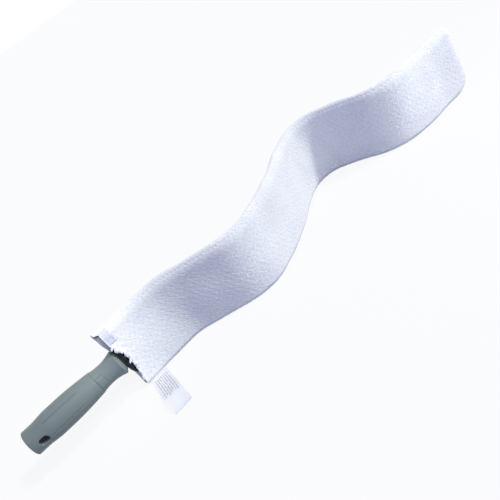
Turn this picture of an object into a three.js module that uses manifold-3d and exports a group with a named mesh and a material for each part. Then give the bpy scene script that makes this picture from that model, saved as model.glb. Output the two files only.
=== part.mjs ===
// A flexible flat duster: a short grip that carries a long, bendable wand in a pile sleeve.
// The wand stands on its lower long edge, bent in an S, with the grip held level at half its width.
// Lengths are in millimetres and angles in degrees. +X runs from the grip to the tip and +Z is up.
// While the pieces are made, the origin is in the middle of the sleeve's mouth.

import * as THREE from 'three';
import { mergeVertices } from 'three/addons/utils/BufferGeometryUtils.js';
import Module from 'manifold-3d';

const wasm = await Module();
wasm.setup();

// Driving dimensions

// Wand: its curve at rest, as the turn of each stretch of linkPitch, from the mouth to the tip
const linkPitch = 50;
const restBends = [7, -33, 3, 48, 10, 7, -16, -74, -9, 49, 16, -12];

// Sleeve
const sleeveWidth = 87;
const sleeveThickness = 13;
const seamMargin = 5;
const edgeFlat = 0.5;
const sectionGap = 0.35;
const mouthThickness = 16;
const mouthSwellLength = 30;
const mouthGape = 12;
const mouthFlareLength = 14;
const tipUpperRadius = 9;
const tipLowerRadius = 26;
const tipEndThickness = 8;
const tipSeam = 12;

// Woven hem on the upper third of the mouth
const hemLength = 9;
const hemHeight = 24;
const hemThickness = 1.2;

// Care label
const labelWidth = 22.5;
const labelLength = 70;
const labelThickness = 0.5;
const labelInset = 3;
const labelArch = 3.5;
const labelLift = 0.2;
const labelTuck = 3.2;

// Spine plates, one to each stretch between two bending lines
const plateSideRoom = 4;
const plateThickness = 4.4;
const plateNose = 1.2;
const plateTaper = 3;
const plateCorner = 6;
const bendGap = 1.5;
const windowEndBar = 9;
const windowInset = 4.5;
const windowRim = 6.5;
const tipPlateGap = 5;

// Malleable core strip
const stripWidth = 12;
const stripThickness = 1;
const stripBendGap = 1.1;

// Black frame base: shoulders and spigot
const shoulderHalfWidth = 12;
const shoulderHalfThickness = 9.3;
const shoulderRun = 21;
const spigotRadius = 9.1;
const spigotDepth = 33.8;
const spigotLap = 1;
const stripAnchorDepth = 4;

// Collar
const collarLength = 28.4;
const collarWaistRadius = 11.9;
const collarRingRadius = 12.9;
const collarMouthRadius = 15.2;
const collarLipLength = 3.4;
const collarLipRadius = 10.6;
const collarMouthPlace = 2.8;
const tenonRadius = 10.4;
const tenonBore = 7.5;
const tenonLength = 27;

// Grip
const gripLength = 87;
const gripRingRadius = 13.4;
const gripBellyRadius = 16;
const gripEndRadius = 14.5;
const gripDome = 2;
const gripEdgeRound = 1.6;
const gripHollowRadius = 9.4;
const gripSolidEnd = 29;
const grooveWidth = 0.8;
const grooveRadius = 15.25;
const grooveTurns = [55, -4.5];
const hangHoleLength = 11.5;
const hangHoleWidth = 8;
const hangHoleFromEnd = 16;

// Release button and its spring
const buttonLength = 8.6;
const buttonWidth = 12.4;
const buttonFromRing = 1;
const buttonTurn = 12;
const buttonFoot = 2.5;
const buttonHeel = 0.7;
const pocketFloor = 3;
const springRadius = 2.4;
const springWire = 0.6;
const springTurns = 3.5;

// Clearance between pieces that touch, and the overrun of every cut
const clearance = 0.3;
const overrun = 2;

// Facets
const turnSteps = 40;
const gripSteps = 14;
const domeSteps = 4;
const collarSteps = 10;
const holeSteps = 10;
const neckSteps = 8;
const labelSteps = 10;
const sleeveCornerSteps = 4;
const cavityCornerSteps = 1;
const plateCornerSteps = 1;
const baseCornerSteps = 4;
const ribbonStepsPerLink = 6;
const springSteps = 10;
const springSides = 6;

// Places worked out from the driving dimensions
const sleeveLength = restBends.length * linkPitch;
const hingeCount = restBends.length - 2;
const hingePlaces = Array.from({ length: hingeCount }, (_, i) => (i + 1.5) * linkPitch);
const cavityThickness = plateThickness + 2 * clearance;
const cavityWidth = sleeveWidth - 2 * seamMargin;
const plateWidth = cavityWidth - 2 * plateSideRoom;
const ringPlace = -(collarMouthPlace + collarLipLength + collarLength);
const gripEndPlace = ringPlace - clearance - gripLength;
const collarBore = spigotRadius + clearance;
const gripBore = tenonRadius + clearance;
const floorLevel = -sleeveWidth / 2 + edgeFlat;

const radians = THREE.MathUtils.degToRad;

// The wand's centre line: point and heading at a distance from the mouth. Before the mouth it is straight.
function placeOnCurve(distance) {
  let x = 0;
  let y = 0;
  let heading = 0;
  let left = distance;
  for (const bend of restBends) {
    const stretch = Math.min(Math.max(left, 0), linkPitch);
    const radius = linkPitch / radians(bend);
    const next = heading + stretch / radius;
    x += radius * (Math.sin(next) - Math.sin(heading));
    y -= radius * (Math.cos(next) - Math.cos(heading));
    heading = next;
    left -= linkPitch;
  }
  const before = Math.min(distance, 0);
  const beyond = Math.max(distance - sleeveLength, 0);
  x += before + beyond * Math.cos(heading);
  y += beyond * Math.sin(heading);
  return { x, y, heading };
}

// A point beside the centre line: side is to the left of the heading and height is along Z
function pointOnRibbon(distance, side, height) {
  const { x, y, heading } = placeOnCurve(distance);
  return new THREE.Vector3(x - side * Math.sin(heading), y + side * Math.cos(heading), height);
}

// Half the gape inside the sleeve, which flares at its mouth
function cavityHalfThickness(distance) {
  const flare = Math.max(1 - Math.max(distance, 0) / mouthFlareLength, 0);
  return THREE.MathUtils.lerp(cavityThickness, mouthGape, flare * flare) / 2;
}

// Closed geometry through rings of equal point counts, with flat ends
function loft(rings, outline) {
  const positions = rings.flat().flatMap((p) => [p.x, p.y, p.z]);
  const count = outline.length;
  const index = [];
  for (let r = 0; r + 1 < rings.length; r += 1) {
    for (let i = 0; i < count; i += 1) {
      const a = r * count + i;
      const b = r * count + ((i + 1) % count);
      index.push(a, b, a + count, b, b + count, a + count);
    }
  }
  const last = (rings.length - 1) * count;
  for (const [a, b, c] of THREE.ShapeUtils.triangulateShape(outline, [])) {
    index.push(a, c, b, last + a, last + b, last + c);
  }
  const geometry = new THREE.BufferGeometry();
  geometry.setAttribute('position', new THREE.Float32BufferAttribute(positions, 3));
  geometry.setIndex(index);
  return geometry;
}

// Rounded rectangle as side and height pairs, counter-clockwise, with steps + 1 points to each corner
function roundedOutline(halfThickness, low, high, corner, steps) {
  const round = Math.min(corner, halfThickness, (high - low) / 2);
  const centres = [
    [halfThickness - round, high - round, 0],
    [round - halfThickness, high - round, 90],
    [round - halfThickness, low + round, 180],
    [halfThickness - round, low + round, 270],
  ];
  const points = [];
  for (const [side, height, start] of centres) {
    for (let i = 0; i <= steps; i += 1) {
      const angle = radians(start + (i / steps) * 90);
      points.push(new THREE.Vector2(side + round * Math.cos(angle), height + round * Math.sin(angle)));
    }
  }
  return points;
}

function squareOutline(halfThickness, low, high) {
  return [
    new THREE.Vector2(halfThickness, high), new THREE.Vector2(-halfThickness, high),
    new THREE.Vector2(-halfThickness, low), new THREE.Vector2(halfThickness, low),
  ];
}

// Solid that follows the wand's curve through the given distances
function ribbonSolid(distances, sectionAt) {
  const rings = distances.map((d) => sectionAt(d).map((p) => pointOnRibbon(d, p.x, p.y)));
  return toManifold(loft(rings, sectionAt(distances[0])));
}

// Even distances between two ends, with the extra ones put in their order
function stations(from, to, extra = []) {
  const steps = Math.max(1, Math.round(((to - from) / linkPitch) * ribbonStepsPerLink));
  const even = Array.from({ length: steps + 1 }, (_, i) => from + ((to - from) * i) / steps);
  const near = (to - from) / (steps * 4);
  const kept = even.filter((d, i) => i === 0 || i === steps || extra.every((e) => Math.abs(e - d) > near));
  const inside = extra.filter((e) => e > from && e < to);
  return [...kept, ...inside].sort((a, b) => a - b);
}

function toManifold(geometry) {
  const bare = geometry.clone();
  bare.deleteAttribute('normal');
  bare.deleteAttribute('uv');
  const merged = mergeVertices(bare);
  const mesh = new wasm.Mesh({
    numProp: 3,
    vertProperties: new Float32Array(merged.attributes.position.array),
    triVerts: new Uint32Array(merged.index.array),
  });
  return new wasm.Manifold(mesh);
}

function toGeometry(solid) {
  const mesh = solid.getMesh();
  const geometry = new THREE.BufferGeometry();
  geometry.setAttribute('position', new THREE.BufferAttribute(new Float32Array(mesh.vertProperties), 3));
  geometry.setIndex(new THREE.BufferAttribute(new Uint32Array(mesh.triVerts), 1));
  geometry.computeVertexNormals();
  return geometry;
}

// Turned solid about the X axis, from [place along X, radius] pairs that start and end on the axis
function turned(profile) {
  const points = profile.map(([place, radius]) => new THREE.Vector2(radius, place));
  return toManifold(new THREE.LatheGeometry(points, turnSteps).rotateZ(-Math.PI / 2));
}

function block(low, high) {
  const size = new THREE.Vector3().subVectors(high, low);
  const middle = new THREE.Vector3().addVectors(low, high).multiplyScalar(0.5);
  const box = new THREE.BoxGeometry(size.x, size.y, size.z);
  return toManifold(box.translate(middle.x, middle.y, middle.z));
}

// A solid turned about the X axis, positive from the front towards the top
function turnedUp(solid, degrees) {
  return toManifold(toGeometry(solid).rotateX(radians(-degrees)));
}

// Materials
const finishes = {
  grip: new THREE.MeshStandardMaterial({ color: 0x7f8f92, roughness: 0.42, metalness: 0 }),
  frame: new THREE.MeshStandardMaterial({ color: 0x14181c, roughness: 0.4, metalness: 0 }),
  steel: new THREE.MeshStandardMaterial({ color: 0x9a9ea2, roughness: 0.35, metalness: 1 }),
  pile: new THREE.MeshStandardMaterial({ color: 0xeef0f8, roughness: 1, metalness: 0 }),
  hem: new THREE.MeshStandardMaterial({ color: 0xdfe1f2, roughness: 0.9, metalness: 0 }),
  label: new THREE.MeshStandardMaterial({ color: 0xf6f6fb, roughness: 0.5, metalness: 0 }),
};

const duster = new THREE.Group();

function addPiece(name, solid, finish) {
  const mesh = new THREE.Mesh(toGeometry(solid), finish);
  mesh.name = name;
  duster.add(mesh);
}

const twoDigits = (number) => String(number).padStart(2, '0');

// Grip: one moulding with a domed end, a hang hole and two shallow grooves on each side

function gripRadius(place) {
  const radii = [gripEndRadius, gripEndRadius, gripBellyRadius, gripBellyRadius, gripRingRadius];
  const lengthShares = [0, 0.14, 0.36, 0.52, 1];
  const share = (place - gripEndPlace) / gripLength;
  const after = lengthShares.findIndex((s) => s >= share && s > 0);
  const t = (share - lengthShares[after - 1]) / (lengthShares[after] - lengthShares[after - 1]);
  const eased = after === lengthShares.length - 1 ? t * t * (3 - t) / 2 : t * t * (3 - 2 * t);
  return THREE.MathUtils.lerp(radii[after - 1], radii[after], eased);
}

function makeGrip() {
  const ringEnd = gripEndPlace + gripLength;
  const sideStart = gripEndPlace + gripDome + gripEdgeRound;
  const profile = [[gripEndPlace, 0], [gripEndPlace, gripEndRadius / 2]];
  for (let i = 1; i <= domeSteps; i += 1) {
    const angle = radians((i / domeSteps) * 90);
    const place = sideStart - (gripDome + gripEdgeRound) * Math.cos(angle);
    const radius = THREE.MathUtils.lerp(gripEndRadius / 2, gripEndRadius, Math.sin(angle));
    profile.push([place, radius]);
  }
  for (let i = 1; i <= gripSteps; i += 1) {
    const place = THREE.MathUtils.lerp(sideStart, ringEnd, i / gripSteps);
    profile.push([place, gripRadius(place)]);
  }
  profile.push([ringEnd, 0]);
  let grip = turned(profile);

  const boreEnd = ringEnd - tenonLength - clearance;
  const hollowEnd = gripEndPlace + gripSolidEnd;
  grip = grip.subtract(turned([
    [hollowEnd, 0], [hollowEnd, gripHollowRadius], [boreEnd, gripHollowRadius],
    [boreEnd, gripBore], [ringEnd + overrun, gripBore], [ringEnd + overrun, 0],
  ]));

  const holeSpan = (hangHoleLength - hangHoleWidth) / 2;
  const hole = new THREE.Shape();
  hole.absarc(holeSpan, 0, hangHoleWidth / 2, -Math.PI / 2, Math.PI / 2, false);
  hole.absarc(-holeSpan, 0, hangHoleWidth / 2, Math.PI / 2, Math.PI * 1.5, false);
  const holeDepth = 2 * (gripBellyRadius + overrun);
  const drillOptions = { depth: holeDepth, bevelEnabled: false, curveSegments: holeSteps };
  const drill = new THREE.ExtrudeGeometry(hole, drillOptions);
  drill.rotateX(Math.PI / 2).translate(gripEndPlace + hangHoleFromEnd, holeDepth / 2, 0);
  grip = grip.subtract(toManifold(drill));

  const grooveCutter = block(
    new THREE.Vector3(gripEndPlace + gripDome, -gripBellyRadius - overrun, -grooveWidth / 2),
    new THREE.Vector3(ringEnd, -grooveRadius, grooveWidth / 2),
  );
  for (const turn of grooveTurns) {
    grip = grip.subtract(turnedUp(grooveCutter, turn));
    grip = grip.subtract(turnedUp(grooveCutter, turn + 180));
  }
  addPiece('grip_shell', grip, finishes.grip);
}

// Collar: a waisted neck with a conical lip at its mouth, a window for the button and a tenon inside the grip

function collarProfile() {
  const waistShare = 0.42;
  const points = [];
  for (let i = 0; i <= collarSteps; i += 1) {
    const share = i / collarSteps;
    const edge = share < waistShare ? collarRingRadius : collarMouthRadius;
    const away = share < waistShare ? 1 - share / waistShare : (share - waistShare) / (1 - waistShare);
    const radius = THREE.MathUtils.lerp(collarWaistRadius, edge, away * away);
    points.push([ringPlace + share * collarLength, radius]);
  }
  return points;
}

const buttonLow = ringPlace + buttonFromRing;
const buttonHigh = buttonLow + buttonLength;

function makeCollar() {
  const tenonEnd = ringPlace - tenonLength;
  const boreEnd = -collarMouthPlace - spigotDepth - clearance;
  const mouthEnd = -collarMouthPlace;
  let collar = turned([
    [tenonEnd, 0], [tenonEnd, tenonRadius], [ringPlace, tenonRadius], ...collarProfile(),
    [mouthEnd, collarLipRadius], [mouthEnd, 0],
  ]);
  collar = collar.subtract(turned([
    [tenonEnd - overrun, 0], [tenonEnd - overrun, tenonBore], [boreEnd, tenonBore],
    [boreEnd, collarBore], [mouthEnd + overrun, collarBore], [mouthEnd + overrun, 0],
  ]));
  const window = block(
    new THREE.Vector3(buttonLow - clearance, -collarMouthRadius, -buttonWidth / 2 - clearance),
    new THREE.Vector3(buttonHigh + clearance, 0, buttonWidth / 2 + clearance),
  );
  addPiece('collar', collar.subtract(turnedUp(window, buttonTurn)), finishes.grip);
}

// Release button: it fills the collar's window, and its heel keeps it from coming out

function makeButton() {
  const skin = turned([[ringPlace, 0], ...collarProfile(), [ringPlace + collarLength, 0]]);
  const head = skin.intersect(block(
    new THREE.Vector3(buttonLow, -collarMouthRadius, -buttonWidth / 2),
    new THREE.Vector3(buttonHigh, -buttonFoot, buttonWidth / 2),
  ));
  const underCollar = turned([
    [ringPlace - overrun, 0], [ringPlace - overrun, spigotRadius], [buttonHigh + overrun, spigotRadius],
    [buttonHigh + overrun, 0],
  ]);
  const heel = underCollar.intersect(block(
    new THREE.Vector3(buttonLow - buttonHeel, -spigotRadius, -buttonWidth / 2),
    new THREE.Vector3(buttonHigh + buttonHeel, -buttonFoot, buttonWidth / 2),
  ));
  addPiece('release_button', turnedUp(head.add(heel), buttonTurn), finishes.grip);
}

// Spring: one open helix between the button's foot and the pocket's floor

function makeSpring() {
  const low = -buttonFoot + clearance + springWire / 2;
  const high = pocketFloor - clearance - springWire / 2;
  const middle = (buttonLow + buttonHigh) / 2;
  const steps = Math.round(springTurns * springSteps);
  const rings = [];
  for (let i = 0; i <= steps; i += 1) {
    const share = i / steps;
    const angle = share * springTurns * Math.PI * 2;
    const ring = [];
    for (let k = 0; k < springSides; k += 1) {
      const around = (k / springSides) * Math.PI * 2;
      const reach = springRadius + (springWire / 2) * Math.cos(around);
      const rise = THREE.MathUtils.lerp(low, high, share) + (springWire / 2) * Math.sin(around);
      ring.push(new THREE.Vector3(middle + reach * Math.cos(angle), rise, reach * Math.sin(angle)));
    }
    rings.push(ring);
  }
  const outline = rings[0].map((_, k) => {
    const around = (k / springSides) * Math.PI * 2;
    return new THREE.Vector2(Math.cos(around), Math.sin(around));
  });
  addPiece('button_spring', turnedUp(toManifold(loft(rings, outline)), buttonTurn), finishes.steel);
}

// Spine: the base with its shoulders and spigot, then one plate to each stretch

const stripSlotHalf = stripThickness / 2 + clearance;
const stripHalf = stripWidth / 2;
const plateHalf = plateWidth / 2;

// Half thickness and height limits of a plate near its two ends
function plateSection(distance, from, to, corners) {
  const nearest = Math.min(distance - from, to - distance);
  const taper = Math.min(nearest / plateTaper, 1);
  const halfThickness = THREE.MathUtils.lerp(plateNose / 2, plateThickness / 2, taper);
  const corner = distance - from < to - distance ? corners.start : corners.end;
  const inCorner = Math.max(corner - nearest, 0);
  const drop = corner - Math.sqrt(Math.max(corner * corner - inCorner * inCorner, 0));
  return { halfThickness, half: plateHalf - drop };
}

function plateStations(from, to, corners) {
  const roundingShares = [1 / 3, 2 / 3, 1];
  const near = [plateTaper, ...roundingShares.map((share) => corners.start * share)].map((d) => from + d);
  const far = [plateTaper, ...roundingShares.map((share) => corners.end * share)].map((d) => to - d);
  return stations(from, to, [...new Set([...near, ...far])]);
}

function plateWindows(from, to) {
  const start = from + windowEndBar;
  const end = to - windowEndBar;
  const low = stripHalf + windowInset;
  const high = plateHalf - windowRim;
  const depth = sleeveThickness / 2;
  const upper = ribbonSolid(stations(start, end), () => squareOutline(depth, low, high));
  const lower = ribbonSolid(stations(start, end), () => squareOutline(depth, -high, -low));
  return upper.add(lower);
}

function stripSolid(from, to, halfThickness, halfWidth) {
  return ribbonSolid(stations(from, to), () => squareOutline(halfThickness, -halfWidth, halfWidth));
}

function makePlate(number, from, to, endCorner) {
  const corners = { start: plateCorner, end: endCorner };
  const plate = ribbonSolid(plateStations(from, to, corners), (d) => {
    const { halfThickness, half } = plateSection(d, from, to, corners);
    return roundedOutline(halfThickness, -half, half, plateNose / 2, plateCornerSteps);
  });
  const slot = stripSolid(from - overrun, to + overrun, stripSlotHalf, stripHalf + clearance);
  const opened = plate.subtract(slot).subtract(plateWindows(from, to));
  addPiece(`spine_plate_${twoDigits(number)}`, opened, finishes.frame);
}

function makeBase(to) {
  const neckStart = -(collarMouthPlace - clearance);
  const neckEnd = neckStart + shoulderRun;
  const neckShares = Array.from({ length: neckSteps + 1 }, (_, i) => (i / neckSteps) * (i / neckSteps));
  const neckStations = neckShares.map((share) => neckStart + shoulderRun * share);
  const endStations = [to - plateTaper, to - plateCorner, to - plateCorner / 2];
  const bodyStations = stations(neckEnd, to, endStations).slice(1);
  const corners = { start: 0, end: plateCorner };
  const shoulders = ribbonSolid([...neckStations, ...bodyStations], (d) => {
    if (d > neckEnd) {
      const { halfThickness, half } = plateSection(d, neckEnd - plateTaper, to, corners);
      return roundedOutline(halfThickness, -half, half, plateNose / 2, baseCornerSteps);
    }
    const share = (d - neckStart) / shoulderRun;
    const ellipse = Math.sqrt(1 - (1 - share) * (1 - share));
    const half = THREE.MathUtils.lerp(shoulderHalfWidth, plateHalf, ellipse);
    const outside = Math.max(d / neckStart, 0);
    const inMouth = cavityHalfThickness(d) - clearance;
    const halfThickness = THREE.MathUtils.lerp(inMouth, shoulderHalfThickness, outside);
    const corner = Math.max(halfThickness * (1 - share), plateNose / 2);
    return roundedOutline(halfThickness, -half, half, corner, baseCornerSteps);
  });
  const spigotEnd = -collarMouthPlace - spigotDepth;
  const lapEnd = neckStart + spigotLap;
  const spigot = turned([[spigotEnd, 0], [spigotEnd, spigotRadius], [lapEnd, spigotRadius], [lapEnd, 0]]);
  const pocket = block(
    new THREE.Vector3(buttonLow - buttonHeel - clearance, -2 * spigotRadius, -buttonWidth / 2 - clearance),
    new THREE.Vector3(buttonHigh + buttonHeel + clearance, pocketFloor, buttonWidth / 2 + clearance),
  );
  const slot = stripSolid(stripAnchorDepth, to + overrun, stripSlotHalf, stripHalf + clearance);
  const windows = plateWindows(neckEnd, to);
  const base = shoulders.add(spigot).subtract(turnedUp(pocket, buttonTurn)).subtract(slot).subtract(windows);
  addPiece('frame_base', base, finishes.frame);
}

function makeSpine() {
  const tipEnd = sleeveLength - tipSeam - tipPlateGap;
  makeBase(hingePlaces[0] - bendGap);
  addPiece('core_strip_00', stripSolid(stripAnchorDepth + clearance, hingePlaces[0] - stripBendGap,
    stripThickness / 2, stripHalf), finishes.steel);
  hingePlaces.forEach((place, i) => {
    const number = i + 1;
    const isTip = number === hingeCount;
    const plateEnd = isTip ? tipEnd : hingePlaces[i + 1] - bendGap;
    const stripEnd = isTip ? tipEnd : hingePlaces[i + 1] - stripBendGap;
    makePlate(number, place + bendGap, plateEnd, isTip ? tipLowerRadius / 2 : plateCorner);
    addPiece(`core_strip_${twoDigits(number)}`, stripSolid(place + stripBendGap, stripEnd,
      stripThickness / 2, stripHalf), finishes.steel);
  });
}

// Sleeve: a flat tube of pile cloth in sections that meet at the bending lines

// Height limits of the sleeve, with its two tip corners rounded
function sleeveLimits(distance) {
  const fromTip = Math.max(sleeveLength - distance, 0);
  const drop = (radius) => {
    const inside = Math.max(radius - fromTip, 0);
    return radius - Math.sqrt(Math.max(radius * radius - inside * inside, 0));
  };
  const half = sleeveWidth / 2;
  return { low: drop(tipLowerRadius) - half, high: half - drop(tipUpperRadius) };
}

// Half thickness of the sleeve, which swells towards its mouth
function sleeveHalfThickness(distance) {
  const swell = THREE.MathUtils.clamp(1 - distance / mouthSwellLength, 0, 1);
  return THREE.MathUtils.lerp(sleeveThickness, mouthThickness, swell * swell) / 2;
}

function sleeveSection(distance) {
  const { low, high } = sleeveLimits(distance);
  const fromTip = Math.max(sleeveLength - distance, 0);
  const thinning = Math.max(1 - fromTip / tipSeam, 0);
  const body = 2 * sleeveHalfThickness(distance);
  const half = THREE.MathUtils.lerp(body, tipEndThickness, thinning * thinning) / 2;
  return roundedOutline(half, low, high, half, sleeveCornerSteps);
}

// Everything below the floor level, which presses the sleeve's lower edge flat
function belowFloor() {
  const reach = 2 * sleeveLength;
  return block(
    new THREE.Vector3(-reach, -reach, floorLevel - sleeveWidth),
    new THREE.Vector3(reach, reach, floorLevel),
  );
}

function cavitySection(distance) {
  const half = cavityWidth / 2;
  return roundedOutline(cavityHalfThickness(distance), -half, half, plateThickness / 2, cavityCornerSteps);
}

function tipStations() {
  const roundingShares = [0.75, 0.5, 0.3, 0.15, 0.05];
  const reaches = [tipLowerRadius, tipUpperRadius, tipSeam];
  return reaches.flatMap((reach) => roundingShares.map((share) => sleeveLength - reach * share));
}

function makeSleeve() {
  const cuts = [0, ...hingePlaces, sleeveLength];
  for (let i = 0; i + 1 < cuts.length; i += 1) {
    const isFirst = i === 0;
    const isTip = i === hingeCount;
    const from = cuts[i] + (isFirst ? 0 : sectionGap / 2);
    const to = cuts[i + 1] - (isTip ? 0 : sectionGap / 2);
    const outer = ribbonSolid(stations(from, to, isTip ? tipStations() : []), sleeveSection);
    const cavityEnd = isTip ? sleeveLength - tipSeam : to + overrun;
    const flareStations = isFirst ? [0, mouthFlareLength / 4, mouthFlareLength / 2, mouthFlareLength] : [];
    const cavity = ribbonSolid(stations(from - overrun, cavityEnd, flareStations), cavitySection);
    let section = outer.subtract(cavity).subtract(belowFloor());
    if (isFirst) section = section.subtract(hemRecess());
    addPiece(`sleeve_section_${twoDigits(i)}`, section, finishes.pile);
  }
}

// Hem: a flat woven strip in place of the pile, on the front of the mouth
const hemTop = sleeveWidth / 2 - mouthThickness / 2;

// A block along the mouth, from a depth under the sleeve's front to a height over it
function hemBlock(from, to, depth, proud, low, high) {
  const section = (d) => {
    const inner = depth - sleeveHalfThickness(d);
    const outer = -proud - sleeveHalfThickness(d);
    return [
      new THREE.Vector2(inner, high), new THREE.Vector2(outer, high),
      new THREE.Vector2(outer, low), new THREE.Vector2(inner, low),
    ];
  };
  return ribbonSolid(stations(from, to), section);
}

function hemRecess() {
  const low = hemTop - hemHeight - clearance;
  return hemBlock(-overrun, hemLength + clearance, hemThickness + clearance, overrun, low, hemTop);
}

function makeHem() {
  const hem = hemBlock(0, hemLength, hemThickness, 0, hemTop - hemHeight, hemTop - clearance);
  addPiece('mouth_hem', hem, finishes.hem);
}

// Care label: a limp strip sewn to the lower edge, lying on the floor in a low arch

function makeLabel() {
  const start = mouthThickness / 2 - labelTuck;
  const along = Array.from({ length: labelSteps + 1 }, (_, i) => i / labelSteps);
  const rise = (share) => floorLevel + labelLift + labelArch * Math.pow(Math.sin(Math.PI * share * share), 2);
  const shape = new THREE.Shape();
  along.forEach((share, i) => {
    const reach = start + labelLength * share;
    if (i === 0) shape.moveTo(reach, rise(share));
    else shape.lineTo(reach, rise(share));
  });
  along.reverse().forEach((share) => shape.lineTo(start + labelLength * share, rise(share) + labelThickness));
  const strip = new THREE.ExtrudeGeometry(shape, { depth: labelWidth, bevelEnabled: false });
  strip.applyMatrix4(new THREE.Matrix4().makeBasis(
    new THREE.Vector3(0, -1, 0), new THREE.Vector3(0, 0, 1), new THREE.Vector3(-1, 0, 0),
  ));
  strip.translate(labelInset + labelWidth, 0, 0);
  addPiece('care_label', toManifold(strip), finishes.label);
}

makeGrip();
makeCollar();
makeButton();
makeSpring();
makeSpine();
makeSleeve();
makeHem();
makeLabel();

// The finished part's origin is the middle of the base of its bounding box
const bounds = new THREE.Box3().setFromObject(duster);
const middle = bounds.getCenter(new THREE.Vector3());
duster.position.set(-middle.x, -middle.y, -bounds.min.z);
duster.updateMatrixWorld(true);

export default duster;
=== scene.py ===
# Looks for a flexible flat duster: a bendable wand in a white pile sleeve, on a short grip.
# Lengths are in metres and angles in degrees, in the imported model's own frame.
# The wand's own frame has its origin in the middle of the sleeve's mouth and starts along +X.
# "s" is the distance along the wand's centre line, "side" is to its left and "height" is along Z.

import math

import bmesh
import bpy
import numpy as np
from mathutils import Matrix, Vector


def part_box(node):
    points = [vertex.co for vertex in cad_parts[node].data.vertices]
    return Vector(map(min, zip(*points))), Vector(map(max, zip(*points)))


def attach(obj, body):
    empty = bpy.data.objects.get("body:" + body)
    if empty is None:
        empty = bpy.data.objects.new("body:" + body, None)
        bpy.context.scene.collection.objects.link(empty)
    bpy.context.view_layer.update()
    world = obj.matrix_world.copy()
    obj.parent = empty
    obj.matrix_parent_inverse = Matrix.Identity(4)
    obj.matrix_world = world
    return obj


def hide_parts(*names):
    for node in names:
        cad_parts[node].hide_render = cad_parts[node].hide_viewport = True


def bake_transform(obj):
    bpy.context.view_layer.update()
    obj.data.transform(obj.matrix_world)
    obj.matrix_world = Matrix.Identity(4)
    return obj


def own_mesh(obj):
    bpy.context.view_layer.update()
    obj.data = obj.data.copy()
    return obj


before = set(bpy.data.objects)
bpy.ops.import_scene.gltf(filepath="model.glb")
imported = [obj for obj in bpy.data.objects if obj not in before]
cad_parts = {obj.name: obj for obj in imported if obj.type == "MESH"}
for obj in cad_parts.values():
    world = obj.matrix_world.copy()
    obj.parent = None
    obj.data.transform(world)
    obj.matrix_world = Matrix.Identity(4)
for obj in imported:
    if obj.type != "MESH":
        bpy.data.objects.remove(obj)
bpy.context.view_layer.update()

# Wand and sleeve
PITCH = 0.050
BENDS = np.array([7, -33, 3, 48, 10, 7, -16, -74, -9, 49, 16, -12], float)
LENGTH = PITCH * len(BENDS)
WIDTH = 0.087
THICKNESS = 0.013
MOUTH_THICKNESS = 0.016
MOUTH_SWELL = 0.030
UPPER_ROUNDING = 0.0095
FAR_ROUNDING = 0.0125
FAR_ROUNDING_PLACE = 0.090
LOWER_ROUNDING = 0.0065
FLOOR_HEIGHT = 0.0005 - WIDTH / 2
TIP_UPPER_RADIUS = 0.009
TIP_LOWER_RADIUS = 0.026
TIP_SEAM = 0.012
TIP_EDGE = 0.0016
TIP_REACH_LOW = 0.0062
TIP_REACH_HIGH = 0.0006
TIP_REACH_START = 0.55
TIP_CLOSE_RINGS = 6
TIP_CLOSENESS = 1.8
CAVITY_HALF = 0.0034
MOUTH_GAPE_HALF = 0.006
MOUTH_FLARE = 0.014
CAVITY_MARGIN = 0.005

# Mouth: the back ply reaches past the front one, and a woven hem takes the place of the pile
BACK_REACH = 0.0075
BACK_REACH_LOW = 0.002
REACH_FADE = 0.012
FRONT_RECESS = 0.0046
RECESS_FADE = 0.028
RECESS_UPPER = 0.013
RECESS_LOWER = 0.045
HEM_LENGTH = 0.009
HEM_LOW = 0.0215
HEM_SINK = 0.0010
HEM_THICKNESS = 0.0005
HEM_BLEND = 0.004
HEM_PUFF = 0.0002
HEM_TUCK = 0.018
HEM_DIVE = 0.0009
HEM_RIPPLE = 0.0002
HEM_RIPPLE_RATE = 900
HEM_TOP = 0.0422
HEM_HOOK = 0.0235
HOOK_RADIUS = 0.0011
HEM_ROLL_RADIUS = 0.00055
HEM_ROLL_LIFT = 0.0006
HEM_ROLL_OUT = 0.0004
STITCH_PLACE = 0.0078
STITCH_PITCH = 0.0046
STITCH_LENGTH = 0.003
STITCH_RADIUS = 0.00028
STITCH_START = HEM_LOW + 0.0012
STITCH_LIFT = 0.0007
STITCH_DIP = 0.0002
STITCHES = 2
FRINGE_TOP = 0.0215
FRINGE_PITCH = 0.0021
FRINGE_LENGTH = 0.0042
FRINGE_RADIUS = 0.0014
FRINGE_GAP = -0.016
FRINGE_GAP_WIDTH = 0.009
FRINGE_BOTTOM = 0.006 - WIDTH / 2
# Painted shade: the fringe's tufts are coloured as if low in the pile, as they hang in shade
FRINGE_SHADE_DEPTH = 0.1

# Pile
GRAIN = 0.0009
PILE_SINK = 0.0003
UNDULATION = 0.0003
UNDULATION_WAVES = (0.05, 0.06, 0.05)
CLUMP = 0.00007
CLUMP_WAVES = (0.0015, 0.0036, 0.0015)
TUFT_LOW = 0.00008
TUFT_HIGH = 0.00016
TUFT_LEAN = 0.00018
LEAN_WAVES = (0.02, 0.03, 0.02)
JITTER = 0.00012
SEAM_FROM_EDGE = 0.0034
SEAM_WIDTH = 0.0009
SEAM_DEPTH = 0.0007
RIM_PUFF = 0.0003
PUCKER_PITCH = 0.0046
PUCKER_MEAN = 0.65
PUCKER_WAVES = (0.03, 0.03, 0.03)
LINING_RINGS = 10
# Painted shade: the lining is coloured as if low in the pile, for the shade inside the sleeve
LINING_SHADE_DEPTH = 0.35

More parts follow.
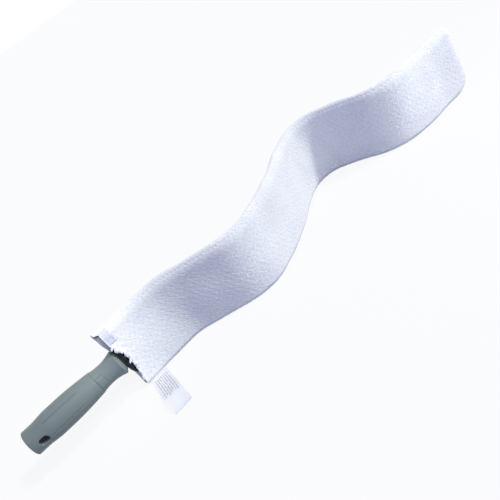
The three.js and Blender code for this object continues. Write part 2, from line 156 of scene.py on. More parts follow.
# Handle: places along it in the wand's own frame, and radii
TURN_STEP = 3.0
CLEARANCE = 0.0003
GRIP_LENGTH = 0.087
COLLAR_LENGTH = 0.0284
LIP_LENGTH = 0.0034
LIP_END = -0.0028
COLLAR_EDGE = LIP_END - LIP_LENGTH
RING = COLLAR_EDGE - COLLAR_LENGTH
GRIP_FRONT = RING - CLEARANCE
GRIP_END = GRIP_FRONT - GRIP_LENGTH
GRIP_END_RADIUS = 0.0145
GRIP_FRONT_RADIUS = 0.0134
GRIP_BELLY_RADIUS = 0.016
GRIP_DOME = 0.0024
GRIP_RIM = 0.0009
GRIP_FILLET = 0.0005
GRIP_SOLID_END = 0.029
GRIP_HOLLOW_RADIUS = 0.0094
GROOVE_DEPTH = 0.0006
GROOVE_HALF_WIDTH = 0.0007
GROOVE_START = -0.0993
GROOVE_END = -0.0530
GROOVE_FADE = 0.003
GROOVE_TURNS = (55, -4.5)
HOLE_LENGTH = 0.0115
HOLE_WIDTH = 0.008
HOLE_PLACE = GRIP_END + 0.016
HOLE_ROUNDING = 0.0009
TENON_LENGTH = 0.027
TENON_RADIUS = 0.0104
TENON_BORE = 0.0075
WAIST_RADIUS = 0.0119
WAIST_SHARE = 0.42
COLLAR_RING_RADIUS = 0.0129
COLLAR_EDGE_RADIUS = 0.0152
LIP_RADIUS = 0.0106
COLLAR_BORE = 0.0094
SPIGOT_RADIUS = 0.0091
SPIGOT_END = LIP_END - 0.0338
BUTTON_LOW = RING + 0.001
BUTTON_LENGTH = 0.0086
BUTTON_WIDTH = 0.0124
BUTTON_TURN = 12
BUTTON_CORNER = 0.0012
BUTTON_FOOT = 0.0025
BUTTON_HEEL = 0.0007
BUTTON_GAP = 0.00014
BUTTON_EDGE = 0.0003
PANEL_INSET = 0.0015
PANEL_LINE = 0.0006
PANEL_DEPTH = 0.00014
POCKET_FLOOR = 0.003
SPRING_RADIUS = 0.0024
SPRING_WIRE = 0.0006
SPRING_TURNS = 3.5
SPRING_STEPS = 28
SPRING_SIDES = 10
EDGE_EASE = 0.0004
LIP_SWELL = 0.0003
RING_REACH = 0.0002

# Care label
LABEL_WIDTH = 0.0225
LABEL_LENGTH = 0.070
LABEL_START = MOUTH_THICKNESS / 2 - 0.0032
LABEL_INSET = 0.003
LABEL_LIFT = 0.0002
LABEL_ARCH = 0.0055
LABEL_THICKNESS = 0.0004
LABEL_MARGIN = 0.0025
LABEL_LINES = 7
LABEL_LINE_PITCH = 0.0025
LABEL_LINE_START = 0.0055
LABEL_LINE_END = 0.046
LABEL_LINE_SPREAD = 0.006
LABEL_LINE_HALF = 0.24
LABEL_LINE_RIPPLE = 0.10
LABEL_WORD_GAP = 0.42
LABEL_INK = 0.7
LABEL_SELVEDGE = 0.0012
LABEL_SKEW = 0.0025
LABEL_CURL = 0.0006
LABEL_TWIST = 0.0004

# The wand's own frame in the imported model: the grip's box gives its axis and its end
GRIP_LOW, GRIP_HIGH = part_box("grip_shell")
ORIGIN = np.array([
    GRIP_LOW.x - GRIP_END,
    (GRIP_LOW.y + GRIP_HIGH.y) / 2,
    (GRIP_LOW.z + GRIP_HIGH.z) / 2,
])


def ease(t):
    """Smooth step from 0 to 1"""
    t = np.clip(t, 0, 1)
    return t * t * (3 - 2 * t)


def mix(a, b, t):
    return a + (b - a) * t


def stacked(*parts):
    """The parts, spread to one shape, side by side along a last axis"""
    return np.stack(np.broadcast_arrays(*parts), axis=-1)


def unit(vectors):
    return vectors / np.maximum(np.linalg.norm(vectors, axis=-1, keepdims=True), 1e-9)


def curve_place(s):
    """x, y and heading of the centre line at the distances s. It is straight before and after."""
    s = np.asarray(s, float)
    radii = PITCH / np.radians(BENDS)
    starts = np.zeros((len(BENDS), 3))
    for k in range(1, len(BENDS)):
        x, y, heading = starts[k - 1]
        turned = heading + math.radians(BENDS[k - 1])
        x += radii[k - 1] * (math.sin(turned) - math.sin(heading))
        y -= radii[k - 1] * (math.cos(turned) - math.cos(heading))
        starts[k] = x, y, turned
    inside = np.clip(s, 0, LENGTH)
    k = np.clip((inside / PITCH).astype(int), 0, len(BENDS) - 1)
    first = starts[k, 2]
    heading = first + (inside - k * PITCH) / radii[k]
    x = starts[k, 0] + radii[k] * (np.sin(heading) - np.sin(first))
    y = starts[k, 1] - radii[k] * (np.cos(heading) - np.cos(first))
    beyond = s - inside
    return x + beyond * np.cos(heading), y + beyond * np.sin(heading), heading


def on_ribbon(s, side, height):
    """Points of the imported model's frame beside the centre line"""
    x, y, heading = curve_place(s)
    return stacked(x - side * np.sin(heading), y + side * np.cos(heading), height) + ORIGIN


# Meshes

def new_object(name, points, faces):
    mesh = bpy.data.meshes.new(name)
    mesh.from_pydata(np.asarray(points, float).reshape(-1, 3).tolist(), [], [list(f) for f in faces])
    mesh.validate()
    mesh.shade_smooth()
    made = bpy.data.objects.new(name, mesh)
    bpy.context.scene.collection.objects.link(made)
    return made


def own_places(made):
    """The object's points in the wand's own frame"""
    return np.array([v.co for v in made.data.vertices]) - ORIGIN


def tube_faces(rings, columns, first=0, inside_out=False):
    """Quads between rings of a closed tube whose points are numbered ring by ring"""
    faces = []
    for r in range(rings - 1):
        for c in range(columns):
            a = first + r * columns + c
            b = first + r * columns + (c + 1) % columns
            quad = (a, b, b + columns, a + columns)
            faces.append(quad[::-1] if inside_out else quad)
    return faces


def joined_rings(a, b, columns):
    """Quads between two rings that start at points a and b"""
    return [(a + c, a + (c + 1) % columns, b + (c + 1) % columns, b + c) for c in range(columns)]


def solid(name, points, faces):
    """Closed mesh with doubled points joined and every face outwards"""
    made = new_object(name, points, faces)
    mesh = bmesh.new()
    mesh.from_mesh(made.data)
    bmesh.ops.remove_doubles(mesh, verts=mesh.verts, dist=1e-7)
    bmesh.ops.dissolve_degenerate(mesh, edges=mesh.edges, dist=1e-7)
    bmesh.ops.recalc_face_normals(mesh, faces=mesh.faces)
    if mesh.calc_volume(signed=True) < 0:
        bmesh.ops.reverse_faces(mesh, faces=mesh.faces)
    mesh.to_mesh(made.data)
    mesh.free()
    return made


def loft(name, rings, capped=True, mirror=None):
    """Closed mesh through rings of equal point counts. Without caps the last ring joins the first. With
    a mirror, point i of the last ring lies across from point mirror - i, and quads close the ring."""
    rings = np.asarray(rings)
    count, columns = rings.shape[:2]
    faces = tube_faces(count, columns)
    last = (count - 1) * columns
    if capped:
        faces.append(tuple(range(columns))[::-1])
    if capped and mirror is None:
        faces.append(tuple(range(last, last + columns)))
    elif capped:
        start = (mirror + 1) // 2
        for i in range(start, start + columns // 2 - 1):
            across = (last + (mirror - i - 1) % columns, last + (mirror - i) % columns)
            faces.append((last + i, last + i + 1, *across))
    else:
        faces += joined_rings(last, 0, columns)
    return solid(name, rings, faces)


# No thread runs along this direction
THREAD_SIDE = (0.31, 0.87, 0.38)


def tube(name, path, radius, sides=8):
    """Round thread along a path, with closed, tapered ends"""
    path = np.asarray(path)
    along = unit(np.gradient(path, axis=0))
    across = unit(np.cross(along, THREAD_SIDE))
    third = np.cross(along, across)
    angle = np.linspace(0, 2 * np.pi, sides, endpoint=False)[None, :, None]
    share = np.linspace(0, 1, len(path))
    size = radius * np.sqrt(np.clip(1 - np.abs(2 * share - 1) ** 8, 0.05, 1))[:, None, None]
    rings = path[:, None] + size * (np.cos(angle) * across[:, None] + np.sin(angle) * third[:, None])
    return loft(name, rings)


def sharpen(made, degrees=35):
    made.data.shade_smooth()
    made.data.set_sharp_from_angle(angle=math.radians(degrees))
    return made


def cut(made, tool):
    """Takes the tool away from the object, and deletes the tool"""
    change = made.modifiers.new("cut", "BOOLEAN")
    change.object = tool
    change.operation = "DIFFERENCE"
    change.solver = "EXACT"
    shown = made.evaluated_get(bpy.context.evaluated_depsgraph_get())
    mesh = bpy.data.meshes.new_from_object(shown)
    made.modifiers.clear()
    made.data = mesh
    bpy.data.objects.remove(tool)
    return made


# Materials

class Nodes:
    """The node tree of a new material or world, with short names for what is added to it"""

    def __init__(self, owner, shader="Principled BSDF"):
        owner.use_nodes = True
        self.owner = owner
        self.tree = owner.node_tree
        self.shader = self.tree.nodes[shader]

    def link(self, output, target):
        self.tree.links.new(output, target)

    def feed(self, socket, value):
        """Gives an input an output to follow, or else a plain value"""
        if hasattr(value, "is_linked"):
            self.link(value, socket)
        else:
            socket.default_value = (*value, 1) if socket.type == "RGBA" else value

    def fill(self, node, **inputs):
        for name, value in inputs.items():
            self.feed(node.inputs[name.replace("_", " ")], value)
        return node

    def add(self, kind, **inputs):
        return self.fill(self.tree.nodes.new(kind), **inputs)

    def set(self, **inputs):
        self.fill(self.shader, **inputs)

    def place(self, map_name=None, scale=(1, 1, 1)):
        """Coordinates from a UV map, or else the object's own, times a scale"""
        if map_name:
            source = self.add("ShaderNodeUVMap")
            source.uv_map = map_name
            out = source.outputs["UV"]
        else:
            out = self.add("ShaderNodeTexCoord").outputs["Object"]
        return self.add("ShaderNodeMapping", Vector=out, Scale=scale).outputs["Vector"]

    def noise(self, place, scale, detail=2.0, roughness=0.5):
        shape = {"Scale": scale, "Detail": detail, "Roughness": roughness}
        return self.add("ShaderNodeTexNoise", Vector=place, **shape).outputs["Fac"]

    def ramp(self, value, stops):
        """Colours or greys at places from 0 to 1"""
        node = self.add("ShaderNodeValToRGB", Fac=value)
        elements = node.color_ramp.elements
        while len(elements) < len(stops):
            elements.new(0.5)
        for element, (place, colour) in zip(elements, stops):
            element.position = place
            element.color = (*colour, 1) if hasattr(colour, "__len__") else (colour, colour, colour, 1)
        return node.outputs["Color"]

    def blend(self, factor, a, b, kind="MIX"):
        """Mix of two colours, each an output or a plain colour"""
        node = self.add("ShaderNodeMix")
        node.data_type = "RGBA"
        node.blend_type = kind
        for name, value in (("Factor", factor), ("A", a), ("B", b)):
            self.feed([i for i in node.inputs if i.name == name and i.enabled][0], value)
        return [o for o in node.outputs if o.enabled][0]

    def maths(self, kind, a, b=None):
        """One Math node; each input is an output or a number"""
        node = self.add("ShaderNodeMath")
        node.operation = kind
        for socket, value in zip(node.inputs, (a, b)):
            if value is not None:
                self.feed(socket, value)
        return node.outputs[0]

    def bump(self, height, distance, strength=1.0):
        node = self.add("ShaderNodeBump", Height=height, Strength=strength, Distance=distance)
        self.set(Normal=node.outputs["Normal"])

    def show_directly(self, direct, output, share, *rays):
        """Shows rays of these kinds a share of the direct shader in place of the plain one"""
        kinds = self.add("ShaderNodeLightPath").outputs
        seen = kinds[rays[0]]
        for ray in rays[1:]:
            seen = self.maths("MAXIMUM", seen, kinds[ray])
        mixed = self.add("ShaderNodeMixShader")
        self.link(self.maths("MULTIPLY", seen, share), mixed.inputs[0])
        self.link(self.shader.outputs[0], mixed.inputs[1])
        self.link(direct.outputs[0], mixed.inputs[2])
        self.link(mixed.outputs[0], self.tree.nodes[output].inputs["Surface"])


def plastic(name, dark, light, roughness, gloss=0.5):
    """Satin moulded plastic: faint flow marks, a fine moulded texture and a slightly uneven gloss"""
    nodes = Nodes(bpy.data.materials.new(name))
    place = nodes.place()
    flow = nodes.noise(nodes.place(scale=(1, 3, 3)), 28, 3)
    wear = nodes.noise(place, 90, 4, 0.6)
    nodes.set(Base_Color=nodes.ramp(flow, [(0.3, dark), (0.7, light)]), Specular_IOR_Level=gloss)
    nodes.set(Roughness=nodes.ramp(wear, [(0.3, roughness - 0.05), (0.75, roughness + 0.08)]))
    nodes.bump(nodes.noise(place, 2600, 2), 0.00003, 0.3)
    return nodes.owner


def brushed_steel(name):
    nodes = Nodes(bpy.data.materials.new(name))
    brushed = nodes.noise(nodes.place(scale=(1, 1, 40)), 60, 4)
    nodes.set(Base_Color=nodes.ramp(brushed, [(0.3, (0.42, 0.43, 0.45)), (0.7, (0.62, 0.63, 0.65))]))
    nodes.set(Metallic=1.0, Roughness=nodes.ramp(brushed, [(0.3, 0.26), (0.7, 0.42)]))
    nodes.bump(brushed, 0.00003, 0.5)
    return nodes.owner


CLOTH_MAP = "cloth_place"
BAKE_MAP = "OFBake"
PILE_SHADE_ATTRIBUTE = "pile_shade"


def pile_cloth(name):
    """White pile: painted lilac shade between the tufts, near white at their ends, with matted areas and
    fine locks
    """
    nodes = Nodes(bpy.data.materials.new(name))
    depth = nodes.add("ShaderNodeAttribute")
    depth.attribute_name = PILE_SHADE_ATTRIBUTE
    # Painted shade: the colour goes lilac low in the pile, where shade falls between the tufts, and near
    # white at the tuft ends
    between, ends = (0.785, 0.805, 0.884), (0.925, 0.938, 0.963)
    tuft = nodes.ramp(depth.outputs["Fac"], [(0.05, between), (0.75, ends)])
    matted = nodes.noise(nodes.place(CLOTH_MAP), 55, 3)
    matting = nodes.ramp(matted, [(0.35, (0.96, 0.965, 0.98)), (0.65, (1.0, 1.0, 1.0))])
    soft = nodes.blend(1.0, tuft, matting, "MULTIPLY")
    fibres = nodes.noise(nodes.place(CLOTH_MAP, (1, 0.5, 1)), 800, 4, 0.7)
    locks = nodes.noise(nodes.place(CLOTH_MAP, (1, 0.55, 1)), 420, 4, 0.65)
    strands = nodes.ramp(locks, [(0.34, (0.92, 0.925, 0.935)), (0.56, (1.0, 1.0, 1.0))])
    nodes.set(Base_Color=nodes.blend(1.0, soft, strands, "MULTIPLY"), Roughness=0.95)
    nodes.set(Diffuse_Roughness=0.5, Specular_IOR_Level=0.2, Sheen_Weight=0.25, Sheen_Roughness=0.5)
    nodes.bump(fibres, 0.0004, 0.62)
    return nodes.owner


def woven_cloth(name, dark, light, thread):
    """Plain weave: two crossing sets of threads, with slubs"""
    nodes = Nodes(bpy.data.materials.new(name))
    place = nodes.place(CLOTH_MAP)
    sets = []
    for direction in ("X", "Y"):
        wave = nodes.add("ShaderNodeTexWave", Vector=place, Scale=1 / (20 * thread), Distortion=0.6)
        wave.bands_direction = direction
        sets.append(wave.outputs["Fac"])
    weave = nodes.blend(0.5, *sets)
    slubs = nodes.noise(place, 400, 3)
    nodes.set(Base_Color=nodes.ramp(nodes.blend(0.35, weave, slubs), [(0.25, dark), (0.75, light)]))
    nodes.set(Roughness=0.85, Specular_IOR_Level=0.25, Sheen_Weight=0.15, Sheen_Roughness=0.4)
    nodes.bump(weave, 0.00005, 0.5)
    return nodes.owner


def label_satin(name):
    """White satin ribbon with woven edges, and plain broken lines where a care label has its print"""
    nodes = Nodes(bpy.data.materials.new(name))
    place = nodes.place(CLOTH_MAP)
    parts = nodes.add("ShaderNodeSeparateXYZ", Vector=place)
    along, across = parts.outputs[0], parts.outputs[1]
    satin = nodes.noise(nodes.place(CLOTH_MAP, (1, 0.06, 1)), 2200, 2)
    cloth = nodes.ramp(satin, [(0.3, (0.74, 0.75, 0.82)), (0.7, (0.80, 0.81, 0.87))])
    row = nodes.maths("MULTIPLY", nodes.maths("SUBTRACT", across, LABEL_MARGIN), 1 / LABEL_LINE_PITCH)
    ripple = nodes.maths("MULTIPLY", nodes.noise(place, 900, 1), LABEL_LINE_RIPPLE)
    centred = nodes.maths("ABSOLUTE", nodes.maths("SUBTRACT", nodes.maths("FRACT", row), 0.5))
    line = nodes.maths("LESS_THAN", nodes.maths("ADD", centred, ripple), LABEL_LINE_HALF)
    number = nodes.add("ShaderNodeTexWhiteNoise")
    number.noise_dimensions = "1D"
    nodes.fill(number, W=nodes.maths("FLOOR", row))
    spread = nodes.maths("MULTIPLY", number.outputs["Value"], LABEL_LINE_SPREAD)
    end = nodes.maths("ADD", spread, LABEL_LINE_END)
    words = nodes.noise(nodes.place(CLOTH_MAP, (1, 3, 1)), 260, 1)
    printed = nodes.maths("MULTIPLY", line, LABEL_INK)
    for kind, value, limit in (
        ("GREATER_THAN", row, 0), ("LESS_THAN", row, LABEL_LINES),
        ("GREATER_THAN", along, LABEL_LINE_START), ("LESS_THAN", along, end),
        ("GREATER_THAN", words, LABEL_WORD_GAP),
    ):
        printed = nodes.maths("MULTIPLY", printed, nodes.maths(kind, value, limit))
    nodes.set(Base_Color=nodes.blend(printed, cloth, (0.22, 0.22, 0.27)))
    nodes.set(Roughness=0.42, Specular_IOR_Level=0.4, Sheen_Weight=0.1)
    edge = nodes.maths("ABSOLUTE", nodes.maths("SUBTRACT", across, LABEL_WIDTH / 2))
    selvedge = nodes.maths("GREATER_THAN", edge, LABEL_WIDTH / 2 - LABEL_SELVEDGE)
    nodes.bump(nodes.blend(0.5, satin, selvedge), 0.00006, 0.8)
    return nodes.owner


GRIP_PLASTIC = plastic("grip_plastic", (0.148, 0.186, 0.194), (0.168, 0.208, 0.217), 0.40, gloss=0.32)
BUTTON_PLASTIC = plastic("button_plastic", (0.146, 0.184, 0.192), (0.164, 0.204, 0.213), 0.41, gloss=0.32)
FRAME_PLASTIC = plastic("frame_plastic", (0.006, 0.010, 0.012), (0.014, 0.019, 0.022), 0.36)
CORE_STEEL = brushed_steel("core_steel")
SPRING_STEEL = brushed_steel("spring_steel")
PILE_CLOTH = pile_cloth("pile_cloth")
HEM_CLOTH = woven_cloth("hem_cloth", (0.58, 0.61, 0.75), (0.66, 0.69, 0.81), 0.0005)
ROLL_CLOTH = woven_cloth("hem_roll_cloth", (0.84, 0.86, 0.93), (0.90, 0.92, 0.97), 0.0004)
STITCH_THREAD = woven_cloth("stitch_thread", (0.42, 0.42, 0.50), (0.52, 0.52, 0.60), 0.0003)
LABEL_SATIN = label_satin("label_satin")


def dress(made, material):
    made.data.materials.clear()
    made.data.materials.append(material)
    return made


# Handle: turned about the grip's axis. A turn is in degrees from the front towards the top.

def about_axis(place, radius, turn):
    """Points at places along the axis, at a radius and a turn"""
    turn = np.radians(turn)
    y, z = -radius * np.cos(turn), radius * np.sin(turn)
    return stacked(place, y, z) + ORIGIN


def turned_up(points, degrees):
    """Points in the wand's own frame, turned about the grip's axis"""
    c, s = math.cos(math.radians(degrees)), math.sin(math.radians(degrees))
    x, y, z = np.moveaxis(points, -1, 0)
    return stacked(x, y * c + z * s, z * c - y * s)


CORNER_STEPS = 6
SIDE_STEPS = 9
OUTLINE_MIRROR = 2 * CORNER_STEPS + SIDE_STEPS


def outline(low, high, half, corner, inset=0.0):
    """Rounded rectangle in x and height, drawn in by the inset"""
    corner = max(corner - inset, 0.00005)
    low, high, half = low + inset + corner, high - inset - corner, half - inset - corner
    corners = []
    for x, z, start in ((high, half, 0), (low, half, 90), (low, -half, 180), (high, -half, 270)):
        angle = np.radians(start + np.linspace(0, 90, CORNER_STEPS + 1))
        corners.append(stacked(x + corner * np.cos(angle), z + corner * np.sin(angle)))
    points = []
    for k in range(4):
        points.extend(corners[k])
        following = corners[(k + 1) % 4][0]
        points.extend(mix(corners[k][-1], following, step / SIDE_STEPS) for step in range(1, SIDE_STEPS))
    return np.array(points)


def skin_ring(shape, inset, radius_at, depth):
    """The outline laid on a round skin that faces the front, at a depth under it"""
    x, z = outline(*shape, inset=inset).T
    skin = np.sqrt(np.maximum(radius_at(x) ** 2 - z ** 2, 0))
    return stacked(x, depth - skin, z)


def window_tool(shape, radius_at, fillet, floor=None, turn=0.0):
    """Cutter down through a round skin, with an eased edge. Without a floor it goes right through."""
    eased = []
    for angle in np.radians((20, 45, 70, 90)):
        outset = fillet * (1 - math.sin(angle))
        eased.append(skin_ring(shape, -outset, radius_at, fillet * (1 - math.cos(angle))))
    rings = [eased[0] * (1, 0, 1) - (0, 1.1 * GRIP_BELLY_RADIUS, 0)] + eased
    if floor is None:
        rings += [ring * (1, -1, 1) for ring in reversed(rings)]
    else:
        rings.append(rings[-1] * (1, 0, 1) - (0, floor, 0))
    return loft("window_tool", turned_up(np.array(rings), turn) + ORIGIN)


def grip_radius(place):
    """Straight end, belly and narrower front"""
    radii = np.array([GRIP_END_RADIUS] * 2 + [GRIP_BELLY_RADIUS] * 2 + [GRIP_FRONT_RADIUS])
    shares = np.array([0, 0.14, 0.36, 0.52, 1])
    share = np.clip((place - GRIP_END) / GRIP_LENGTH, 0, 1)
    after = np.clip(np.searchsorted(shares, share), 1, len(shares) - 1)
    t = (share - shares[after - 1]) / (shares[after] - shares[after - 1])
    eased = np.where(after == len(shares) - 1, t * t * (3 - t) / 2, t * t * (3 - 2 * t))
    return mix(radii[after - 1], radii[after], eased)


def make_grip():
    """One hollow moulding with a domed end, four shallow grooves on its skin and a hang hole"""
    half = math.degrees(GROOVE_HALF_WIDTH / GRIP_BELLY_RADIUS)
    grooves = np.array([turn + side for turn in GROOVE_TURNS for side in (0, 180)])
    away = lambda turn: np.abs((np.asarray(turn)[..., None] - grooves + 180) % 360 - 180).min(axis=-1)
    steps = np.array([-1.7, -1, -0.75, -0.5, -0.25, 0, 0.25, 0.5, 0.75, 1, 1.7])
    near = (grooves[:, None] + half * steps).ravel()
    even = np.arange(0, 360, TURN_STEP)
    turns = np.sort(np.concatenate([near % 360, even[away(even) > 2.4 * half]]))
    groove = ease(1 - away(turns) / half)

    profile = []
    side_start = GRIP_END + GRIP_DOME
    rim = GRIP_END_RADIUS - GRIP_RIM
    for share in (0.03, 0.15, 0.3, 0.45, 0.6, 0.74, 0.87, 0.97):
        profile.append((GRIP_END + (GRIP_DOME - GRIP_RIM) * share ** 2.2, rim * share))
    for angle in np.radians((15, 33, 50, 66, 80, 90)):
        profile.append((side_start - GRIP_RIM * math.cos(angle), rim + GRIP_RIM * math.sin(angle)))
    for place in np.linspace(side_start, GRIP_FRONT - GRIP_FILLET, 46)[1:]:
        profile.append((place, float(grip_radius(place))))
    skin_count = len(profile)
    front_radius = profile[-1][1]
    for angle in np.radians((22, 45, 68, 90)):
        profile.append((GRIP_FRONT - GRIP_FILLET * (1 - math.sin(angle)),
                        front_radius - GRIP_FILLET * (1 - math.cos(angle))))
    bore = TENON_RADIUS + CLEARANCE
    bore_end = RING - TENON_LENGTH - CLEARANCE
    hollow_end = GRIP_END + GRIP_SOLID_END
    profile += [
        (GRIP_FRONT, bore + CLEARANCE), (GRIP_FRONT - CLEARANCE, bore), (bore_end, bore),
        (bore_end, GRIP_HOLLOW_RADIUS), (hollow_end, GRIP_HOLLOW_RADIUS), (hollow_end, 0.0005),
    ]
    places, radii = np.array(profile).T
    outside = (np.arange(len(places)) < skin_count)[:, None]
    run = ease((places - GROOVE_START) / GROOVE_FADE) * ease((GROOVE_END - places) / GROOVE_FADE)
    depth = GROOVE_DEPTH * run[:, None] * groove * outside
    grip = loft("grip_cover", about_axis(places[:, None], radii[:, None] - depth, turns))
    hole = (HOLE_PLACE - HOLE_LENGTH / 2, HOLE_PLACE + HOLE_LENGTH / 2, HOLE_WIDTH / 2, HOLE_WIDTH / 2)
    sharpen(cut(grip, window_tool(hole, grip_radius, HOLE_ROUNDING)))
    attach(dress(grip, GRIP_PLASTIC), "handle")
    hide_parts("grip_shell")


def collar_radius(place):
    """The collar's waisted skin"""
    share = np.clip((place - RING) / COLLAR_LENGTH, 0, 1)
    before = share < WAIST_SHARE
    away = np.where(before, 1 - share / WAIST_SHARE, (share - WAIST_SHARE) / (1 - WAIST_SHARE))
    return mix(WAIST_RADIUS, np.where(before, COLLAR_RING_RADIUS, COLLAR_EDGE_RADIUS), away ** 2)


BUTTON_SHAPE = (BUTTON_LOW, BUTTON_LOW + BUTTON_LENGTH, BUTTON_WIDTH / 2, BUTTON_CORNER)


def make_collar():
    """Tenon, waisted neck with the button's window, and a conical lip, as one turned ring"""
    tenon_end = RING - TENON_LENGTH
    ring = RING - RING_REACH
    soft = EDGE_EASE
    profile = [
        (tenon_end, TENON_BORE), (tenon_end, TENON_RADIUS - soft), (tenon_end + soft, TENON_RADIUS),
        (ring, TENON_RADIUS), (ring, COLLAR_RING_RADIUS - 0.5 * soft),
        (ring + 0.2 * soft, COLLAR_RING_RADIUS - 0.15 * soft),
    ]
    for place in np.linspace(RING + soft, COLLAR_EDGE - soft, 40):
        profile.append((place, float(collar_radius(place))))
    profile += [
        (COLLAR_EDGE - 0.2 * soft, COLLAR_EDGE_RADIUS - 0.1 * soft),
        (COLLAR_EDGE + 0.5 * soft, COLLAR_EDGE_RADIUS - soft),
    ]
    for share in np.linspace(0.2, 0.94, 6):
        radius = mix(COLLAR_EDGE_RADIUS, LIP_RADIUS, share) + LIP_SWELL * math.sin(math.pi * share)
        profile.append((mix(COLLAR_EDGE, LIP_END, share), radius))
    profile += [
        (LIP_END, LIP_RADIUS), (LIP_END, COLLAR_BORE + soft), (LIP_END - soft, COLLAR_BORE),
        (SPIGOT_END - CLEARANCE, COLLAR_BORE), (SPIGOT_END - CLEARANCE, TENON_BORE),
    ]
    places, radii = np.array(profile).T
    rings = about_axis(places[:, None], radii[:, None], np.arange(0, 360, TURN_STEP))
    collar = loft("collar_cover", rings, capped=False)
    low, high, half, corner = BUTTON_SHAPE
    gap = BUTTON_GAP
    window = (low - gap, high + gap, half + gap, corner + gap)
    sharpen(cut(collar, window_tool(window, collar_radius, BUTTON_EDGE, floor=0, turn=BUTTON_TURN)), 30)
    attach(dress(collar, GRIP_PLASTIC), "handle")
    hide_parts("collar")


def make_button():
    """Press button that follows the collar's skin, with a faint panel line and a heel under the collar"""
    low, high, half, corner = BUTTON_SHAPE
    heel = (low - BUTTON_HEEL, high + BUTTON_HEEL, half, corner)
    under = lambda x: np.full(len(x), SPIGOT_RADIUS)
    foot = skin_ring(heel, 0, under, 0) * (1, 0, 1) - (0, BUTTON_FOOT, 0)
    rings = [foot, skin_ring(heel, 0, under, 0), skin_ring(BUTTON_SHAPE, 0, under, 0)]
    for angle in np.radians((0, 22, 45, 68, 90)):
        inset = BUTTON_EDGE * (1 - math.cos(angle))
        rings.append(skin_ring(BUTTON_SHAPE, inset, collar_radius, BUTTON_EDGE * (1 - math.sin(angle))))
    panel = ((0.0, 0), (0.25, 0.9), (0.5, 1.0), (0.75, 0.9), (1.0, 0.35), (1.6, 0.3), (2.6, 0.3))
    for lines, share in panel:
        inset = PANEL_INSET + lines * PANEL_LINE
        rings.append(skin_ring(BUTTON_SHAPE, inset, collar_radius, share * PANEL_DEPTH))
    rings = turned_up(np.array(rings), BUTTON_TURN) + ORIGIN
    button = loft("button_cover", rings, mirror=OUTLINE_MIRROR)
    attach(dress(sharpen(button, 30), BUTTON_PLASTIC), "button")
    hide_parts("release_button")


def make_spring():
    """Helical spring between the button's foot and the pocket's floor"""
    low = -BUTTON_FOOT + CLEARANCE + SPRING_WIRE / 2
    high = POCKET_FLOOR - CLEARANCE - SPRING_WIRE / 2
    share = np.linspace(0, 1, int(SPRING_TURNS * SPRING_STEPS))
    turn = 2 * np.pi * SPRING_TURNS * share
    centre = BUTTON_LOW + BUTTON_LENGTH / 2
    x, z = centre + SPRING_RADIUS * np.cos(turn), SPRING_RADIUS * np.sin(turn)
    path = turned_up(stacked(x, mix(low, high, share), z), BUTTON_TURN) + ORIGIN
    spring = tube("spring_coil", path, SPRING_WIRE / 2, SPRING_SIDES)
    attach(dress(spring, SPRING_STEEL), "handle")
    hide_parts("button_spring")
    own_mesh(spring)


# Sleeve: rings of points round a flat tube, numbered from the lower front corner upwards

FACE_COLUMNS = int(round((WIDTH - UPPER_ROUNDING - LOWER_ROUNDING) / GRAIN / 2)) * 2
ARC_COLUMNS = int(round(1.25 * math.pi * THICKNESS / 2 / GRAIN / 2)) * 2
COLUMNS = 2 * (FACE_COLUMNS + ARC_COLUMNS)
STRETCH_RINGS = int(round(PITCH / GRAIN / 2)) * 2


def column_shares():
    """For each column: its side and its rise on the arcs, as shares of their sizes, and how low it is"""
    up = np.arange(FACE_COLUMNS) / FACE_COLUMNS
    turn = np.pi * np.arange(ARC_COLUMNS) / ARC_COLUMNS
    flat = np.ones(FACE_COLUMNS)
    side = np.concatenate([-flat, -np.cos(turn), flat, np.cos(turn)])
    rise = np.concatenate([0 * flat, np.sin(turn), 0 * flat, -np.sin(turn)])
    lowness = np.concatenate([1 - up, 0 * turn, up, 1 + 0 * turn])
    return side, rise, lowness


SIDE_SHARES, RISE_SHARES, LOWNESS = column_shares()
BACKNESS = ease((SIDE_SHARES + 0.7) / 1.2)


def corner_drop(s, radius):
    """How far a rounded tip corner takes the edge in"""
    inside = np.clip(radius - (LENGTH - s), 0, radius)
    return radius - np.sqrt(radius ** 2 - inside ** 2)


def sleeve_half(s):
    """Half the sleeve's thickness, which swells at the mouth and closes at the tip"""
    inside = np.clip(1 - (LENGTH - s) / TIP_SEAM, 0, 1)
    swell = np.clip(1 - s / MOUTH_SWELL, 0, 1) ** 2
    return mix(TIP_EDGE / 2, mix(THICKNESS, MOUTH_THICKNESS, swell) / 2, np.sqrt(1 - inside ** 2))


def outer_section(s):
    """Side and height of every column, for the distances s as a column of numbers"""
    low = -WIDTH / 2 + corner_drop(s, TIP_LOWER_RADIUS)
    high = WIDTH / 2 - corner_drop(s, TIP_UPPER_RADIUS)
    half = sleeve_half(s)
    rounding = mix(UPPER_ROUNDING, FAR_ROUNDING, ease(s / FAR_ROUNDING_PLACE))
    upper = rounding * np.minimum(half / (THICKNESS / 2), 1)
    lower = np.minimum(half * LOWER_ROUNDING / (THICKNESS / 2), LOWER_ROUNDING)
    side = SIDE_SHARES * half
    rise = RISE_SHARES * np.where(RISE_SHARES > 0, upper, lower)
    height = LOWNESS * (low + lower) + (1 - LOWNESS) * (high - upper) + rise
    return side, height


def lining_section(s):
    """The same for the sleeve's inner side, which flares at the mouth"""
    flare = np.clip(1 - s / MOUTH_FLARE, 0, 1.3) ** 2
    half = mix(CAVITY_HALF, MOUTH_GAPE_HALF, flare)
    reach = WIDTH / 2 - CAVITY_MARGIN
    side = SIDE_SHARES * half
    height = (1 - 2 * LOWNESS) * (reach - half) + RISE_SHARES * half
    return side, height


def mouth_reach():
    """How far each column reaches out of the mouth, past the front ply"""
    return BACKNESS * mix(BACK_REACH, BACK_REACH_LOW, ease(LOWNESS * 1.4))


